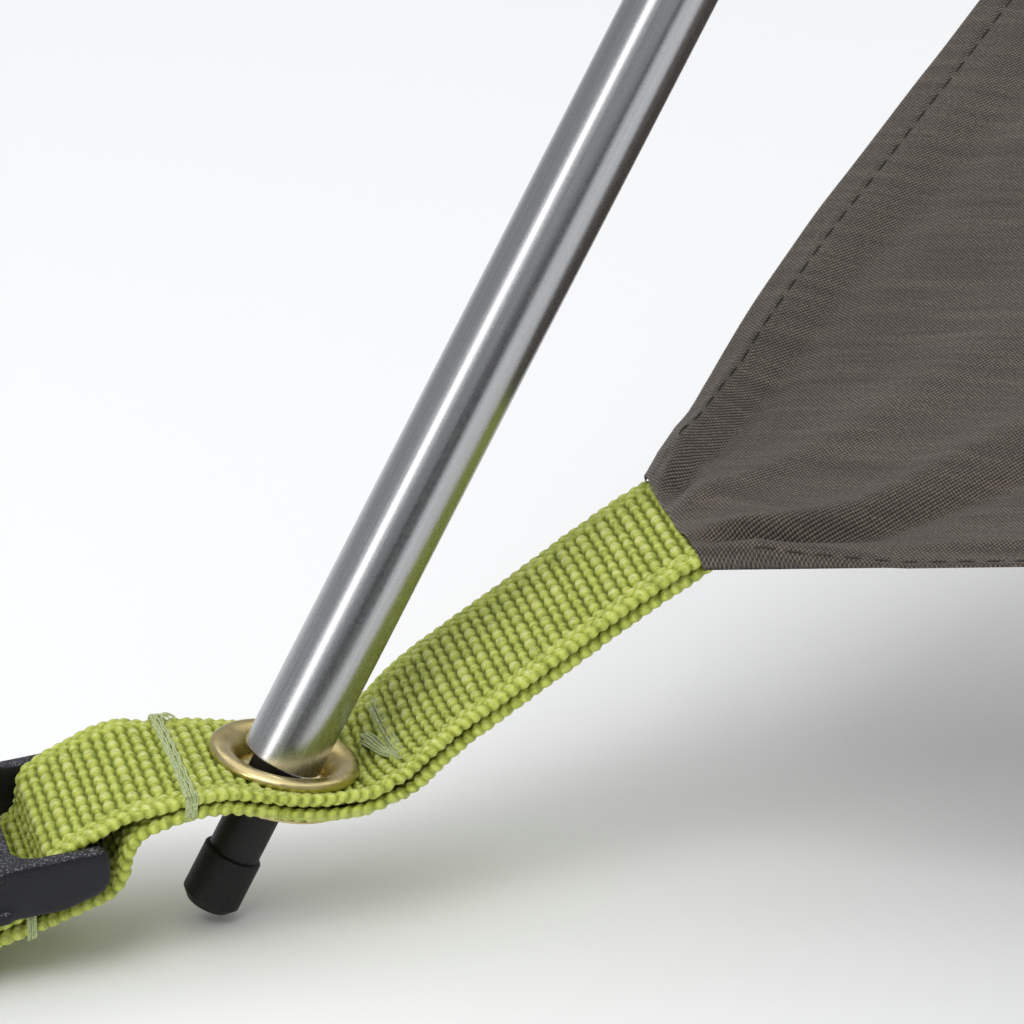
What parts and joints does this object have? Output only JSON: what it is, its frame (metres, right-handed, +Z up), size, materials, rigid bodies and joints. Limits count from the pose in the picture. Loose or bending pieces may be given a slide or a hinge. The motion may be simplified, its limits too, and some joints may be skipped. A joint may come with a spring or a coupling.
{
  "type": "tent corner anchor",
  "caption": "Corner anchor of a tent flysheet: doubled webbing with a brass grommet that takes a pole foot, a buckle socket, a peg loop, and the hemmed corner of the fly.",
  "frame": {"origin": "where the peg stands in the peg loop", "axes": "+X along the strap towards the tent, +Y across the strap towards the back hem, +Z up"},
  "size_m": [0.2369, 0.164, 0.2815],
  "materials": {
    "webbing": "lime green woven polyester webbing",
    "thread": "grey-green sewing thread",
    "dark_thread": "black-green sewing thread",
    "brass": "polished brass",
    "pole": "polished aluminium",
    "tip": "moulded black plastic",
    "foot": "matte black rubber",
    "cord": "braided elastic cord",
    "buckle": "spark-eroded charcoal plastic",
    "fly": "taupe plain-weave polyester"
  },
  "bodies": {
    "strap": {"strap_upper_layer": "webbing", "strap_lower_layer": "webbing", "peg_loop": "webbing", "outer_tack": "thread", "inner_tack": "thread", "loop_tack": "thread", "grommet_eyelet": "brass", "grommet_washer": "brass"},
    "fly": {"arm_upper_layer": "webbing", "arm_lower_layer": "webbing", "fly_panel": "fly", "corner_patch": "fly", "front_hem": "fly", "back_hem": "fly", "seam_fold": "fly", "front_hem_stitching": "dark_thread", "back_hem_stitching": "dark_thread", "corner_stitching": "dark_thread"},
    "pole": {"pole_tube": "pole", "pole_tip": "tip", "foot_cap": "foot", "pole_ferrule": "pole", "shock_cord": "cord", "cord_washer": "pole", "cord_lower_knot": "cord", "cord_upper_knot": "cord"},
    "buckle": {"buckle_socket": "buckle"}
  },
  "joints": [
    {"name": "pole_lift", "type": "slide", "parent": "strap", "child": "pole", "axis": [0.4535, 0, 0.8912], "range_m": [0, 0.045]},
    {"name": "buckle_swing", "type": "hinge", "parent": "strap", "child": "buckle", "pos_m": [0.057, 0, 0.0075], "axis": [0, 1, 0], "range_deg": [0, 100]},
    {"name": "fly_flex", "type": "hinge", "parent": "strap", "child": "fly", "pos_m": [0.107, 0, 0.0252], "axis": [0, -1, 0], "range_deg": [-25, 20]}
  ]
}
